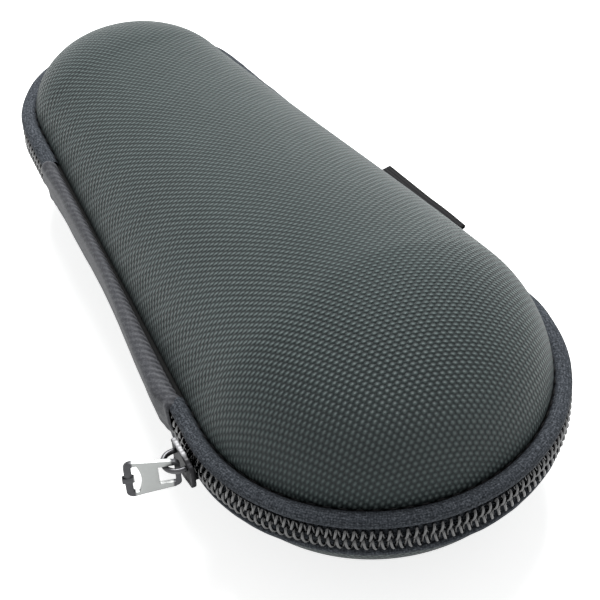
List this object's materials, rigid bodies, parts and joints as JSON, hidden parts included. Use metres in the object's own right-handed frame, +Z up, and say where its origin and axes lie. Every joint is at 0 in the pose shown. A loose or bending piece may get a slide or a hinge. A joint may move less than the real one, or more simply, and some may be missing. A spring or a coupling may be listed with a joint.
{
  "type": "electric shaver hard case",
  "caption": "Rounded hard travel case for an electric shaver: two moulded cloth-covered halves on a cloth hinge, closed by a coil zip with a metal slider and pull.",
  "frame": {"origin": "on the flat bottom face at mid length, midway between the two straight sides of the rim", "axes": "+Z up from the bottom face to the lid's dome; +Y along the case from the wide end to the narrow end; the cloth hinge is on the -X side and the side tab on the +X side"},
  "size_m": [0.1103, 0.205, 0.0702],
  "materials": {
    "foam": "matte moulded foam",
    "nylon": "coarse ballistic nylon with raised dots, slight sheen",
    "lining_cloth": "soft brushed knit",
    "tape_cloth": "fine plain weave, matte",
    "coil": "wound nylon monofilament, slight gloss",
    "binding_cloth": "ribbed tape, matte",
    "thread": "twisted thread",
    "strip_cloth": "fine weave with a soft sheen",
    "elastic": "ribbed elastic, matte",
    "net": "knitted net",
    "tab_cloth": "folded woven tape, matte",
    "slider_metal": "gunmetal plating, satin",
    "pull_metal": "gunmetal plating, polished flat faces"
  },
  "bodies": {
    "lower_case": {"lower_shell": "foam", "lower_cover": "nylon", "lower_lining": "lining_cloth", "lower_tape": "tape_cloth", "lower_coil": "coil", "lower_binding": "binding_cloth", "lower_seam_thread": "thread", "hinge_strip_lower": "strip_cloth", "hinge_liner_lower": "lining_cloth", "holding_strap": "elastic"},
    "lid": {"upper_shell": "foam", "upper_cover": "nylon", "upper_lining": "lining_cloth", "upper_tape": "tape_cloth", "upper_coil": "coil", "upper_binding": "binding_cloth", "upper_seam_thread": "thread", "hinge_strip_upper": "strip_cloth", "hinge_liner_upper": "lining_cloth", "mesh_panel": "net", "mesh_binding": "binding_cloth", "mesh_hem": "elastic", "side_tab": "tab_cloth"},
    "slider": {"slider_body": "slider_metal", "slider_crown": "slider_metal"},
    "pull": {"pull_tab": "pull_metal"}
  },
  "joints": [
    {"name": "lid_hinge", "type": "hinge", "parent": "lower_case", "child": "lid", "pos_m": [-0.04738, -0.04999, 0.028], "axis": [-0.1155, -0.9933, 0], "range_deg": [0, 160]},
    {"name": "slider_travel", "type": "hinge", "parent": "lower_case", "child": "slider", "pos_m": [0, -0.0555, 0.028], "axis": [0, 0, 1], "range_deg": [0, 177]},
    {"name": "pull_swing", "type": "hinge", "parent": "slider", "child": "pull", "pos_m": [-0.05079, -0.05394, 0.028], "axis": [0, 0, 1], "range_deg": [-25, 95]}
  ],
  "couplings": [
    {"joint": "slider_travel", "follows": "lid_hinge", "ratio": 1.1}
  ]
}
